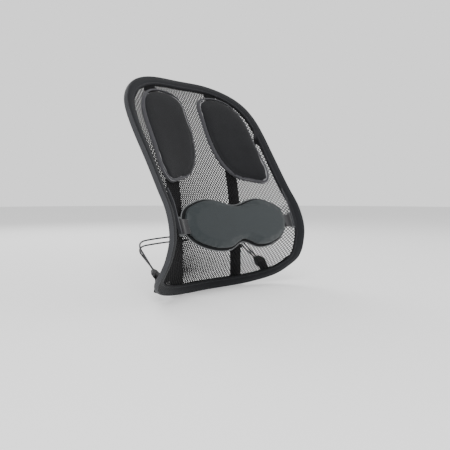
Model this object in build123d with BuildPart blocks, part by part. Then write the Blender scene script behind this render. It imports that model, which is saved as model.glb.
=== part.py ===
from build123d import *
import math
import os

# A framed mesh back support. A sprung hoop in a padded band carries a tight mesh, two upper pads and a
# lumbar pad that hangs between two slider clips, and an elastic cord pair straps it to a backrest.
# Frame: +Z up, -Y towards the sitter, +X to one side. Y = 0 is the back face of the two stays.

os.makedirs("parts", exist_ok=True)

# Panel and band
half_span = 200.0        # half width at which the cup depths below are given
slab_reach = 245.0       # half width of the curved layers before they are trimmed
band_width = 25.0
band_half = 4.5          # half thickness of the band
cover_thickness = 2.6
binding_width = 2.5
binding_half = 5.2
hoop_inset = 8.0         # outer edge of the band to the sprung hoop
hoop_width = 6.0
hoop_half = 1.2
mesh_half = 0.6
mesh_inset = 15.0        # the mesh's hem reaches this far into the band

# Upper pads
pad_front = 12.0
pad_back = 1.0
pad_wall = 2.0
pad_binding = 2.6

# Stays in their sleeves
stay_x = 98.0
sleeve_width = 37.0
sleeve_thickness = 6.0
stay_width = 16.0
stay_thickness = 1.6
stay_play = 0.3
knee_z = 128.0           # the stays are straight below this height and bent back above it
stay_top_z = 500.0
stay_rise = 104.0        # how far the stays' top ends lie behind their straight part
foot_height = 24.0
foot_depth = 16.0

# Lumbar pad
lumbar_centre_z = 170.3
lumbar_front_y = -115.1
lumbar_lean = 20.6       # degrees that the pad's face leans back from upright
lumbar_base_back = 16.0
lumbar_base_front = 12.0
lumbar_wall = 2.4
cushion_inset = 5.0
piping_width = 2.8
piping_height = 2.6

# Slider clips and their webbing
clip_x = 182.5
clip_width = 14.0
clip_height = 42.0
clip_thickness = 3.0
clip_depth = 3.0         # back face of the clip behind the pad's front plane
clip_v = -3.0            # clip centre below the pad's centre, along the pad
slot_width = 3.2
slot_height = 34.0
tab_width = 31.0
tab_thickness = 1.2
strap_gap = 0.3

# Side wings: the strip of fabric between a rail and the slider clip, as (across, up along the pad),
# and its side view from the clip up to the rail, as (up along the pad, out of its front)
wing_points = [
    (185.4, -18),
    (193.0, -18),
    (192.4, -3),
    (189.6, -2),
    (189.6, 46),
    (190.4, 80),
    (184, 78),
    (182.5, 30),
    (185.4, 12.5),
]
wing_profile = [(-18, 0.9), (14, 0.9), (45, 0.2), (62, -2.2), (84, -6.8)]
wing_thickness = 1.2

# Rear anchors and the elastic cords
buckle_base = Vector(170, -27, 51)
buckle_axis = Vector(-0.08, 0.80, 0.595).normalized()
buckle_side = Vector(0.913, -0.18, 0.365)
buckle_base_width = 31.0
buckle_nose_width = 14.0
buckle_length = 24.0
buckle_thickness = 7.0
buckle_bar = 3.5
buckle_slot_length = 26.0
buckle_slot_height = 3.4
buckle_eye = 2.0
cord_mouth = (11.0, 5.0)
cord_mouth_depth = 7.0
anchor_width = 24.0
anchor_thickness = 1.4

# The anchor webbing seen edge on: along the buckle's axis and square to its face.
anchor_points = [
    (-27, -18.4),
    (-6, 1.6),
    (-1, 4.6),
    (5.2, 4.6),
    (5.2, -4.6),
    (-1, -4.6),
    (-6, -2.6),
    (-27, -22.2),
]

# Elastic cords, from inside the right buckle round the backrest's edge to the middle of its rear.
cord_diameter = 4.0
upper_cord_half = [
    (171.0, -13.0, 62.8),
    (165, 50, 112),
    (139, 80, 121),
    (100, 87, 123.5),
    (52, 92, 125),
    (0, 93.5, 125.5),
]
lower_cord_half = [
    (166.2, -12.2, 60.6),
    (163.5, 52, 101),
    (137.5, 82, 109),
    (98, 89, 111),
    (51, 94, 112.5),
    (0, 95.5, 113),
]

# Heights up the panel, with the centre line's depth and how far the panel cups forward at half_span.
stations = [
    (-12, 6, 49),
    (15, -1, 51),
    (45, -14, 54),
    (75, -33, 60),
    (105, -46, 63),
    (150, -53, 65),
    (200, -41, 64),
    (245, -21, 56),
    (300, 1, 44),
    (365, 29, 31),
    (430, 59, 22),
    (480, 86, 21),
    (527, 120, 22),
]

# Right half of the band's outer edge, top middle to bottom middle, as (x, z).
outline_points = [
    (0, 515),
    (80, 513.5),
    (135, 501),
    (178, 477),
    (204, 443),
    (213.5, 395),
    (212.5, 320),
    (212, 240),
    (216, 160),
    (222.5, 95),
    (223, 60),
    (207, 33),
    (165, 13),
    (95, 2),
    (0, 0),
]

# Right upper pad, once round from the middle of its top edge, as (x, z).
upper_pad_points = [
    (92, 475),
    (58, 472),
    (34, 460),
    (26, 420),
    (25.5, 375),
    (33, 333),
    (52, 296),
    (85, 271),
    (125, 262),
    (161, 262),
    (173, 283),
    (170.5, 330),
    (168, 380),
    (160, 430),
    (135, 462),
]

# Right half of the lumbar pad, top middle to bottom middle, across and up along the pad.
lumbar_points = [
    (0, 45),
    (38, 53),
    (80, 60.5),
    (125, 52),
    (156, 35),
    (167, 2),
    (155, -29),
    (122, -50),
    (76, -61.5),
    (34, -58),
    (0, -46),
]


def save(part, name):
    part.label = name
    export_step(part, f"parts/{name}.step")


def half_edge(points):
    """A symmetric outline's right half, level where it crosses the middle."""
    return Spline(*points, tangents=[(1, 0), (-1, 0)])


def inset_points(curve, distance, count, closed):
    """Points along a curve, moved sideways by a distance towards the shape's inside."""
    found = []
    last = count if closed else count + 1
    for index in range(last):
        place = curve @ (index / count)
        way = curve % (index / count)
        found.append((place.X + way.Y * distance, place.Y - way.X * distance))
    return found


with BuildLine() as band_line:
    band_edge = half_edge(outline_points)
with BuildLine() as lumbar_line:
    lumbar_edge = half_edge(lumbar_points)
with BuildLine() as upper_pad_line:
    upper_pad_edge = Spline(*upper_pad_points, periodic=True)


def draw_symmetric(edge, inset):
    """A symmetric outline, moved inwards by a distance."""
    points = inset_points(edge, inset, 36, False)
    points[0] = (0, points[0][1])
    points[-1] = (0, points[-1][1])
    Spline(*points, tangents=[(1, 0), (-1, 0)])
    mirror(about=Plane.YZ)


def draw_wing(side, inset):
    """An upper pad's outline, moved inwards by a distance."""
    points = inset_points(upper_pad_edge, -inset, 30, True)
    Spline(*[(side * x, z) for x, z in points], periodic=True)


def flat_shape(plane, draw, kind, outer, inner=None):
    """A flat shape on a plane, or the ring between two insets of the same outline."""
    with BuildSketch(plane) as sketch:
        with BuildLine():
            draw(kind, outer)
        make_face()
        if inner is not None:
            with BuildLine():
                draw(kind, inner)
            make_face(mode=Mode.SUBTRACT)
    return sketch.sketch


def panel_at(x, z):
    """Depth of the panel's middle surface: smooth between the stations, a parabola across."""
    last = len(stations) - 2
    row = max(i for i in range(last + 1) if stations[i][0] <= z or i == 0)
    low, high = stations[row], stations[row + 1]
    before = stations[max(row - 1, 0)]
    after = stations[min(row + 2, last + 1)]
    gap = high[0] - low[0]
    t = (z - low[0]) / gap
    values = []
    for k in (1, 2):
        start_slope = (high[k] - before[k]) / (high[0] - before[0]) * gap
        end_slope = (after[k] - low[k]) / (after[0] - low[0]) * gap
        values.append(low[k] * (2 * t ** 3 - 3 * t ** 2 + 1) + start_slope * (t ** 3 - 2 * t ** 2 + t)
                      + high[k] * (3 * t ** 2 - 2 * t ** 3) + end_slope * (t ** 3 - t ** 2))
    return values[0] - values[1] * (x / half_span) ** 2


def on_panel(x, z):
    return Vector(x, panel_at(x, z), z)


def edge_planes(edge, lift, reach, count):
    """Section planes along the right half of an outline, from its bottom middle to its top middle.

    Each has x inwards across the surface and y out of its back.
    """
    planes = []
    for index in reversed(range(count + 1)):
        place = edge @ (index / count)
        way = edge % (index / count)
        outer = lift(place.X, place.Y)
        inward = lift(place.X + way.Y * reach, place.Y - way.X * reach) - outer
        along = lift(place.X + way.X, place.Y + way.Y) - lift(place.X - way.X, place.Y - way.Y)
        inward = inward.normalized()
        planes.append(Plane(origin=outer, x_dir=inward, z_dir=along - inward * along.dot(inward)))
    return planes


def flip(vector):
    return Vector(-vector.X, vector.Y, vector.Z)


def edge_ring(edge, lift, reach, across, through, count=40):
    """A strip that follows a symmetric outline once round and meets itself at the bottom middle.

    `lift` places the outline's points in space, `across` is the strip's extent inwards from the
    outline, and `through` its extent front to back, square to the surface there.
    """
    planes = edge_planes(edge, lift, reach, count)
    first = planes[0]
    planes[0] = Plane(origin=first.origin + Vector(0.05, 0, 0), x_dir=first.x_dir, z_dir=first.z_dir)
    for plane in reversed(planes[:-1]):
        planes.append(Plane(origin=flip(plane.origin), x_dir=flip(plane.x_dir),
                            z_dir=flip(plane.x_dir).cross(flip(plane.y_dir))))
    with BuildPart() as strip:
        for plane in planes:
            with BuildSketch(plane):
                with Locations(((across[0] + across[1]) / 2, (through[0] + through[1]) / 2)):
                    Rectangle(across[1] - across[0], through[1] - through[0])
        loft(ruled=True)
    return strip.part


def layer(front, back):
    """A layer of the cupped and bowed panel, from `front` to `back` behind its middle surface."""
    with BuildPart() as slab:
        for z, depth, cup in stations:
            drop = cup * (slab_reach / half_span) ** 2
            with BuildSketch(Plane.XY.offset(z)):
                with BuildLine():
                    for shift in (front, back):
                        rim = depth - drop + shift
                        Bezier((-slab_reach, rim), (0, depth + drop + shift), (slab_reach, rim))
                    for x in (-slab_reach, slab_reach):
                        Line((x, depth - drop + front), (x, depth - drop + back))
                make_face()
        loft()
    return slab.part


def cut_from_layer(face, front, back):
    """A piece cut out of a layer of the panel by a shape seen from the front."""
    with BuildPart() as piece:
        extrude(face, amount=300, both=True)
        add(layer(front, back), mode=Mode.INTERSECT)
    return piece.part


def band_shape(outer, inner=None):
    return flat_shape(Plane.XZ, draw_symmetric, band_edge, outer, inner)


def wing_shape(side, outer, inner=None):
    return flat_shape(Plane.XZ, draw_wing, side, outer, inner)


# Band: a front and a back cover, the binding that closes the outer edge, and the sprung hoop inside.
def band_strip(inset_low, inset_high, front, back):
    return edge_ring(band_edge, on_panel, band_width, (inset_low, inset_high), (front, back))


save(band_strip(binding_width, band_width, -band_half, cover_thickness - band_half),
     "band_front_cover")
save(band_strip(binding_width, band_width, band_half - cover_thickness, band_half),
     "band_back_cover")
save(band_strip(0, binding_width - 0.1, -binding_half, binding_half), "edge_binding")
save(band_strip(hoop_inset, hoop_inset + hoop_width, -hoop_half, hoop_half), "frame_hoop")

# Mesh: stretched across the hoop, its hem caught between the band's covers.
save(cut_from_layer(band_shape(mesh_inset), -mesh_half, mesh_half), "mesh_panel")

# Seam loop: a folded tab caught in the band's inner seam on one side.
with BuildSketch(Plane.XZ) as loop_face:
    with Locations((188, 382)):
        RectangleRounded(15, 40, 3)
save(cut_from_layer(loop_face.sketch, -1.9, -0.8), "seam_loop")

# Upper pads: cover with a foam core, and a binding tape round the edge.
for side, word in ((-1, "left"), (1, "right")):
    core_front = pad_wall - pad_front
    core_back = -pad_back - pad_wall
    with BuildPart() as upper_cover:
        add(cut_from_layer(wing_shape(side, 0), -pad_front, -pad_back))
        add(cut_from_layer(wing_shape(side, pad_wall), core_front - 0.2, core_back + 0.2),
            mode=Mode.SUBTRACT)
    save(upper_cover.part, f"upper_pad_cover_{word}")
    save(cut_from_layer(wing_shape(side, pad_wall + 0.3), core_front, core_back),
         f"upper_pad_foam_{word}")
    save(cut_from_layer(wing_shape(side, -pad_binding, 0), -pad_front + 3.5, -pad_back),
         f"upper_pad_binding_{word}")

# Stays: spring-steel strips in fabric sleeves. Their ends are sewn to the back of the band.
stay_span = stay_top_z - knee_z
stay_radius = (stay_rise ** 2 + stay_span ** 2) / (2 * stay_rise)
stay_angle = math.degrees(math.asin(stay_span / stay_radius))


def stay_strip(x_low, width, front, back, low_z, turn):
    """A strip that is straight up to the knee and then bends back, `front` to `back` along Y."""
    centre = (stay_radius - sleeve_thickness, knee_z)
    with BuildPart() as strip:
        with BuildSketch(Plane.YZ.offset(x_low)):
            with BuildLine():
                ends = []
                for y in (front, back):
                    radius = centre[0] - y
                    bend = CenterArc(centre, radius, 180 - turn, turn)
                    leg = Line((y, knee_z), (y, low_z))
                    ends.append((bend @ 0, leg @ 1))
                Line(ends[0][0], ends[1][0])
                Line(ends[0][1], ends[1][1])
            make_face()
        extrude(amount=width)
    return strip.part


middle = -sleeve_thickness / 2
for side, word in ((-1, "left"), (1, "right")):
    sleeve_low = side * stay_x - sleeve_width / 2
    stay_low = side * stay_x - stay_width / 2
    with BuildPart() as sleeve:
        add(stay_strip(sleeve_low, sleeve_width, -sleeve_thickness, 0, 3, stay_angle))
        with Locations((side * stay_x, -sleeve_thickness - foot_depth / 2, 3 + foot_height / 2)):
            Box(sleeve_width + 4, foot_depth, foot_height)
        with Locations((side * stay_x, stay_rise - 8, stay_top_z - 6)):
            Box(sleeve_width, foot_depth, 10)
        add(layer(-80, band_half + 2.6), mode=Mode.SUBTRACT)
        add(stay_strip(stay_low - stay_play, stay_width + 2 * stay_play,
                       middle - stay_thickness / 2 - stay_play,
                       middle + stay_thickness / 2 + stay_play, 14, stay_angle - 2.6),
            mode=Mode.SUBTRACT)
    save(sleeve.part, f"stay_sleeve_{word}")
    save(stay_strip(stay_low, stay_width, middle - stay_thickness / 2, middle + stay_thickness / 2,
                    14 + stay_play, stay_angle - 2.7), f"stay_{word}")

# Lumbar pad plane: x across, y up along the pad, z out towards the sitter.
lean = math.radians(lumbar_lean)
pad_up = Vector(0, math.sin(lean), math.cos(lean))
pad_plane = Plane(origin=(0, lumbar_front_y, lumbar_centre_z), x_dir=(1, 0, 0),
                  z_dir=Vector(1, 0, 0).cross(pad_up))


def lumbar_shape(depth, outer, inner=None):
    return flat_shape(pad_plane.offset(-depth), draw_symmetric, lumbar_edge, outer, inner)


with BuildPart() as lumbar_base:
    extrude(lumbar_shape(lumbar_base_back, piping_width), amount=lumbar_base_back - lumbar_base_front)
save(lumbar_base.part, "lumbar_base")

save(edge_ring(lumbar_edge, lambda x, v: pad_plane.from_local_coords((x, v, 0)), 2,
               (0, piping_width - 0.5), (lumbar_base_front, lumbar_base_front + piping_height)),
     "lumbar_piping")

cushion_depth = lumbar_base_front - 0.2
with BuildPart() as lumbar_cover:
    extrude(lumbar_shape(cushion_depth, cushion_inset), amount=cushion_depth)
    extrude(lumbar_shape(cushion_depth - lumbar_wall, cushion_inset + 7),
            amount=cushion_depth - 2 * lumbar_wall, mode=Mode.SUBTRACT)
save(lumbar_cover.part, "lumbar_cover")

with BuildPart() as lumbar_foam:
    extrude(lumbar_shape(cushion_depth - lumbar_wall - 0.1, cushion_inset + 7.3),
            amount=cushion_depth - 2 * lumbar_wall - 0.2)
save(lumbar_foam.part, "lumbar_foam")

# Slider clips: a frame with two upright slots and three bars, one clip at each end of the pad.
bar_pitch = (clip_width - 2 * slot_width) / 3
slot_shift = (slot_width + bar_pitch) / 2
for side, word in ((-1, "left"), (1, "right")):
    with BuildPart() as clip:
        with BuildSketch(pad_plane.offset(-clip_depth)):
            with Locations((side * clip_x, clip_v)):
                RectangleRounded(clip_width, clip_height, 3)
                with Locations((-slot_shift, 0), (slot_shift, 0)):
                    RectangleRounded(slot_width, slot_height, 1.2, mode=Mode.SUBTRACT)
        extrude(amount=clip_thickness)
        fillet(clip.edges().filter_by(GeomType.CIRCLE).filter_by(
            lambda edge: edge.radius > 2.9), 0.8)
    save(clip.part, f"slider_clip_{word}")

    # Pad tab: webbing from the pad's end, round the clip's inner bar and back under itself.
    tab_plane = Plane(origin=pad_plane.from_local_coords((0, clip_v - tab_width / 2, 0)),
                      x_dir=(side, 0, 0), z_dir=-side * pad_up)
    reach = clip_x - slot_shift
    low = -clip_depth - strap_gap - tab_thickness / 2
    high = -clip_depth + clip_thickness + strap_gap + tab_thickness / 2
    with BuildPart() as pad_tab:
        with BuildSketch(tab_plane):
            with BuildLine() as tab_path:
                Polyline((150, -2.2), (169, -2.2), (175, high), (reach, high), (reach, low),
                         (174, low), (169, -4.6), (150, -4.6))
            trace(line_width=tab_thickness)
        extrude(amount=-side * tab_width)
        extrude(lumbar_shape(cushion_depth + 1, cushion_inset - 0.15), amount=cushion_depth + 4,
                mode=Mode.SUBTRACT)
    save(pad_tab.part, f"pad_tab_{word}")

    # Side wing: sewn along the rail's inner seam, its hem turned round the clip's outer bar.
    outer = clip_x + slot_shift
    hem_end = 188.6
    wing_plane = Plane(origin=pad_plane.from_local_coords((side * 180, 0, 0)), x_dir=pad_up,
                       z_dir=(side, 0, 0))
    with BuildPart() as wing:
        with BuildSketch(wing_plane):
            with BuildLine():
                Polyline(*[(v, side * w) for v, w in wing_profile])
            trace(line_width=wing_thickness)
        extrude(amount=15)
        with BuildSketch(pad_plane):
            with BuildLine():
                Polyline(*[(side * x, v) for x, v in wing_points], close=True)
            make_face()
        extrude(amount=30, both=True, mode=Mode.INTERSECT)
        with BuildSketch(tab_plane):
            with BuildLine():
                Polyline((outer + 1, high), (outer, high), (outer, low), (hem_end, low))
            trace(line_width=wing_thickness)
        extrude(amount=-side * tab_width)
    save(wing.part, f"side_wing_{word}")

# Rear anchors: a trapezoid buckle on a loop of webbing that is sewn to the back of the lower rail.
buckle_face = buckle_side.cross(buckle_axis).normalized()
buckle_across = buckle_axis.cross(buckle_face).normalized()
buckle_plane = Plane(origin=buckle_base, x_dir=buckle_across, z_dir=buckle_face)
webbing_plane = Plane(origin=buckle_base - buckle_across * (anchor_width / 2), x_dir=buckle_axis,
                      z_dir=buckle_across)

with BuildPart() as buckle:
    with BuildSketch(buckle_plane.offset(-buckle_thickness / 2)):
        with BuildLine():
            Polyline((-buckle_base_width / 2, 0), (buckle_base_width / 2, 0),
                     (buckle_base_width / 2, buckle_bar + buckle_slot_height + 3),
                     (buckle_nose_width / 2, buckle_length), (-buckle_nose_width / 2, buckle_length),
                     (-buckle_base_width / 2, buckle_bar + buckle_slot_height + 3), close=True)
        make_face()
        with Locations((0, buckle_bar + buckle_slot_height / 2)):
            RectangleRounded(buckle_slot_length, buckle_slot_height, 1.2, mode=Mode.SUBTRACT)
        with Locations((0, buckle_length - cord_mouth_depth - buckle_eye - 2.4)):
            Circle(buckle_eye, mode=Mode.SUBTRACT)
    extrude(amount=buckle_thickness)
    fillet(buckle.edges().filter_by(Axis(buckle_base, buckle_face)), 1)
    nose = Plane(origin=buckle_base + buckle_axis * buckle_length, x_dir=buckle_across,
                 z_dir=buckle_axis)
    with BuildSketch(nose):
        RectangleRounded(*cord_mouth, 2.3)
    extrude(amount=-cord_mouth_depth, mode=Mode.SUBTRACT)

with BuildPart() as webbing:
    with BuildSketch(webbing_plane):
        with BuildLine():
            Polyline(*anchor_points)
        trace(line_width=anchor_thickness)
    extrude(amount=anchor_width)

for name, piece in (("rear_buckle", buckle.part), ("anchor_webbing", webbing.part)):
    save(piece.mirror(Plane.YZ), f"{name}_left")
    save(piece, f"{name}_right")


def corner_radii(route):
    """Each corner's arc: 0.45 of its shorter run over the tangent of half its turn."""
    radii = []
    for before, corner, after in zip(route, route[1:], route[2:]):
        run_in = Vector(*corner) - Vector(*before)
        run_out = Vector(*after) - Vector(*corner)
        turn = math.radians(run_in.get_angle(run_out))
        radii.append(0.45 * min(run_in.length, run_out.length) / math.tan(turn / 2))
    return radii


# Elastic cords: one above the other, each fixed in both buckles and taut round the backrest.
for half, word in ((upper_cord_half, "upper"), (lower_cord_half, "lower")):
    route = half + [(-x, y, z) for x, y, z in reversed(half[:-1])]
    radii = corner_radii(route)
    with BuildPart() as cord:
        with BuildLine() as path:
            FilletPolyline(*route, radius=radii)
        with BuildSketch(Plane(origin=path.line @ 0, z_dir=path.line % 0)):
            Circle(cord_diameter / 2)
        sweep()
    length = sum(edge.length for edge in path.edges())
    section = math.pi * cord_diameter ** 2 / 4
    print(word, "cord length", round(length, 1), "volume ratio",
          round(cord.part.volume / (section * length), 4), "radii", [round(r, 1) for r in radii])
    save(cord.part, f"elastic_cord_{word}")
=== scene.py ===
import math

import bmesh
import bpy
import numpy as np
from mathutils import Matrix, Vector


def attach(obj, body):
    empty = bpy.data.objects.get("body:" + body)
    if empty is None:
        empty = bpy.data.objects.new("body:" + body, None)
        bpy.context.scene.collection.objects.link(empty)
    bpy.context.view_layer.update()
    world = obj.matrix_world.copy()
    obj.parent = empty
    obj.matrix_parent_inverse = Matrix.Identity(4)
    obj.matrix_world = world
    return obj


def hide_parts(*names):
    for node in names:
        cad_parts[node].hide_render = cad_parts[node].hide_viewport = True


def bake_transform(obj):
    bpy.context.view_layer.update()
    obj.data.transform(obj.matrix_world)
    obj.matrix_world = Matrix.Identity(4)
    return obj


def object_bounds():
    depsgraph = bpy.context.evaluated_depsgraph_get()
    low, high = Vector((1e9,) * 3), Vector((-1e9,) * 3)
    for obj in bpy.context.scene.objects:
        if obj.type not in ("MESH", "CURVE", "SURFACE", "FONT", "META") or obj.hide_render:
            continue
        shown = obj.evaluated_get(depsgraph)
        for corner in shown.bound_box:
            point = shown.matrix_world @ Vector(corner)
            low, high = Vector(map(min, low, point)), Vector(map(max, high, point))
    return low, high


# A framed mesh back support: a padded band on a sprung hoop holds a tight net, two upper pads and a
# lumbar pad between two slider clips, and two elastic cords pull it against a backrest.
# Everything is in metres: +Z up, -Y towards the sitter, Y = 0 at the back of the two stays.
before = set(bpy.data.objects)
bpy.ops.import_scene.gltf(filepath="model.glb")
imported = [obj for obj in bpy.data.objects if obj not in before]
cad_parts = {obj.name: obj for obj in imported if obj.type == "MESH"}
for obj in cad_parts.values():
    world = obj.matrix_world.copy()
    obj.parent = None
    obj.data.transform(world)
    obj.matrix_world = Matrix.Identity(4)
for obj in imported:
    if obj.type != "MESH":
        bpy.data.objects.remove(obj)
cad_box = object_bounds()
mm = 0.001

# ---------------------------------------------------------------------------------------------------
# Camera: level with the lumbar pad, half-way round to the sitter's right, and looking down a little
# at the middle of the support.
eye = Vector((-0.8664, -0.9278, 0.2372))
camera = bpy.data.objects.new("camera", bpy.data.cameras.new("camera"))
bpy.context.scene.collection.objects.link(camera)
camera.location = eye
camera.rotation_mode = "QUATERNION"
camera.rotation_quaternion = Vector((0.706, 0.706, -0.063)).to_track_quat("-Z", "Y")
camera.data.sensor_width = 36
camera.data.lens = 41.9
bpy.context.scene.camera = camera

# ---------------------------------------------------------------------------------------------------
# Elastic cords: two round braided cords, one above the other, each fixed in the mouths of both rear
# buckles and drawn tight round the backrest. The braid is black with a faint sheen.
cord_diameter = 0.004
upper_cord_half = [
    (0.171, -0.013, 0.0628),
    (0.1668, 0.0311, 0.0973),
    (0.165, 0.050, 0.112),
    (0.139, 0.080, 0.121),
    (0.100, 0.087, 0.1235),
    (0.052, 0.092, 0.125),
    (0.0, 0.0935, 0.1255),
]
lower_cord_half = [
    (0.1662, -0.0122, 0.0606),
    (0.1644, 0.0317, 0.0882),
    (0.1635, 0.052, 0.101),
    (0.1375, 0.082, 0.109),
    (0.098, 0.089, 0.111),
    (0.051, 0.094, 0.1125),
    (0.0, 0.0955, 0.113),
]


def new_group(name, sockets_in, sockets_out):
    """A shader node group with named sockets, its input node and its output node."""
    group = bpy.data.node_groups.new(name, "ShaderNodeTree")
    for label, kind, value in sockets_in:
        made = group.interface.new_socket(label, in_out="INPUT", socket_type=kind)
        if value is not None:
            made.default_value = value
    for label, kind in sockets_out:
        group.interface.new_socket(label, in_out="OUTPUT", socket_type=kind)
    return group, group.nodes.new("NodeGroupInput"), group.nodes.new("NodeGroupOutput")


def add_node(tree, kind, settings=(), **inputs):
    """A node with its properties and inputs set. A socket as an input value becomes a link."""
    made = tree.nodes.new(kind)
    for label, value in dict(settings).items():
        setattr(made, label, value)
    for label, value in inputs.items():
        key = int(label[1:]) if label[0] == "_" else label.replace("_", " ")
        if isinstance(value, bpy.types.NodeSocket):
            tree.links.new(value, made.inputs[key])
        else:
            made.inputs[key].default_value = value
    return made


def math_node(tree, operation, *values):
    """The result of a Math node on two or three values or sockets."""
    made = add_node(tree, "ShaderNodeMath", {"operation": operation},
                    **{f"_{i}": v for i, v in enumerate(values)})
    return made.outputs[0]


# Threads that cross over and under each other, with patches of light wear and a fine fuzz.
woven, woven_in, woven_out = new_group(
    "woven cloth",
    [("Vector", "NodeSocketVector", None), ("Thread", "NodeSocketFloat", 0.001),
     ("Dark", "NodeSocketColor", None), ("Light", "NodeSocketColor", None),
     ("Patches", "NodeSocketFloat", 0.4)],
    [("Colour", "NodeSocketColor"), ("Height", "NodeSocketFloat")])
split = add_node(woven, "ShaderNodeSeparateXYZ", Vector=woven_in.outputs["Vector"])
half_turns = math_node(woven, "DIVIDE", math.pi, woven_in.outputs["Thread"])
waves = [math_node(woven, "SINE", math_node(woven, "MULTIPLY", split.outputs[axis], half_turns))
         for axis in ("X", "Y")]
crossing = math_node(woven, "MULTIPLY_ADD", math_node(woven, "MULTIPLY", *waves), 0.5, 0.5)
patch = add_node(woven, "ShaderNodeTexNoise", Vector=woven_in.outputs["Vector"], Scale=28.0,
                 Detail=4.0)
fuzz = add_node(woven, "ShaderNodeTexNoise", Vector=woven_in.outputs["Vector"], Scale=1500.0,
                Detail=2.0)
worn = math_node(woven, "MULTIPLY", patch.outputs["Fac"], woven_in.outputs["Patches"])
share = math_node(woven, "ADD", math_node(woven, "MULTIPLY", crossing, 0.45), worn)
share = math_node(woven, "ADD", share, math_node(woven, "MULTIPLY", fuzz.outputs["Fac"], 0.3))
tone = add_node(woven, "ShaderNodeMix", {"data_type": "RGBA"}, Factor=share)
woven.links.new(woven_in.outputs["Dark"], tone.inputs[6])
woven.links.new(woven_in.outputs["Light"], tone.inputs[7])
woven.links.new(tone.outputs[2], woven_out.inputs["Colour"])
woven.links.new(math_node(woven, "MULTIPLY_ADD", fuzz.outputs["Fac"], 0.35, crossing),
                woven_out.inputs["Height"])


def cloth_material(name, dark, light, thread, depth, roughness, sheen, patches=0.4, turned=None):
    """A woven material. Its pattern lies on the UV map.

    Where `turned` is given, it lies on Object coordinates turned by those angles.
    """
    made = bpy.data.materials.new(name)
    made.use_nodes = True
    tree = made.node_tree
    shader = tree.nodes["Principled BSDF"]
    place = tree.nodes.new("ShaderNodeTexCoord")
    source = place.outputs["UV"]
    if turned is not None:
        source = add_node(tree, "ShaderNodeMapping", Vector=place.outputs["Object"],
                          Rotation=turned).outputs["Vector"]
    cloth = tree.nodes.new("ShaderNodeGroup")
    cloth.node_tree = woven
    tree.links.new(source, cloth.inputs["Vector"])
    cloth.inputs["Thread"].default_value = thread
    cloth.inputs["Dark"].default_value = (*dark, 1)
    cloth.inputs["Light"].default_value = (*light, 1)
    cloth.inputs["Patches"].default_value = patches
    bump = add_node(tree, "ShaderNodeBump", Strength=0.6, Distance=depth,
                    Height=cloth.outputs["Height"])
    tree.links.new(cloth.outputs["Colour"], shader.inputs["Base Color"])
    tree.links.new(bump.outputs["Normal"], shader.inputs["Normal"])
    shader.inputs["Roughness"].default_value = roughness
    shader.inputs["Sheen Weight"].default_value = sheen
    shader.inputs["Sheen Roughness"].default_value = 0.5
    shader.inputs["Specular IOR Level"].default_value = 0.2
    return made


elastic = cloth_material("braided elastic", (0.008, 0.008, 0.009), (0.05, 0.05, 0.055), 0.0009,
                         0.0003, 0.7, 0.2, turned=(0.6, 0.6, 0.8))
for word, half in (("upper", upper_cord_half), ("lower", lower_cord_half)):
    route = half + [(-x, y, z) for x, y, z in reversed(half[:-1])]
    line = bpy.data.curves.new(f"elastic_{word}", "CURVE")
    line.dimensions = "3D"
    line.bevel_depth = cord_diameter / 2
    line.bevel_resolution = 3
    line.use_fill_caps = True
    spline = line.splines.new("NURBS")
    spline.points.add(len(route) - 1)
    for point, place in zip(spline.points, route):
        point.co = (*place, 1)
    spline.order_u = 3
    spline.use_endpoint_u = True
    spline.resolution_u = 12
    line.materials.append(elastic)
    elastic_cord = bpy.data.objects.new(f"elastic_{word}", line)
    bpy.context.scene.collection.objects.link(elastic_cord)
    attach(elastic_cord, "frame")
    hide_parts(f"elastic_cord_{word}")

# ---------------------------------------------------------------------------------------------------
# Band: two strips of smooth woven fabric over a thin wadding, sewn together round the sprung hoop with
# a row of stitches along each edge. The net's hem is caught between them.
band_width = 25 * mm
half_span = 200 * mm

# Heights up the panel, with the centre line's depth and how far the panel cups forward at half_span.
stations = mm * np.array([
    (-12, 6, 49), (15, -1, 51), (45, -14, 54), (75, -33, 60), (105, -46, 63), (150, -53, 65),
    (200, -41, 64), (245, -21, 56), (300, 1, 44), (365, 29, 31), (430, 59, 22), (480, 86, 21),
    (527, 120, 22)])

# Right half of the band's outer edge, top middle to bottom middle, as (x, z).
outline = mm * np.array([
    (0, 515), (80, 513.5), (135, 501), (178, 477), (204, 443), (213.5, 395), (212.5, 320),
    (212, 240), (216, 160), (222.5, 95), (223, 60), (207, 33), (165, 13), (95, 2), (0, 0)])


def on_panel(x, z):
    """Places on the panel's middle surface: smooth between the stations, a parabola across."""
    x, z = np.asarray(x, float), np.asarray(z, float)
    heights, last = stations[:, 0], len(stations) - 1
    row = np.clip(np.searchsorted(heights, z, side="right") - 1, 0, last - 1)
    before, after = np.maximum(row - 1, 0), np.minimum(row + 2, last)
    gap = heights[row + 1] - heights[row]
    t = (z - heights[row]) / gap
    values = []
    for column in (stations[:, 1], stations[:, 2]):
        start = (column[row + 1] - column[before]) / (heights[row + 1] - heights[before]) * gap
        end = (column[after] - column[row]) / (heights[after] - heights[row]) * gap
        values.append(column[row] * (2 * t ** 3 - 3 * t ** 2 + 1) + start * (t ** 3 - 2 * t ** 2 + t)
                      + column[row + 1] * (3 * t ** 2 - 2 * t ** 3) + end * (t ** 3 - t ** 2))
    return np.stack([x, values[0] - values[1] * (x / half_span) ** 2, z], -1)


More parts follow.
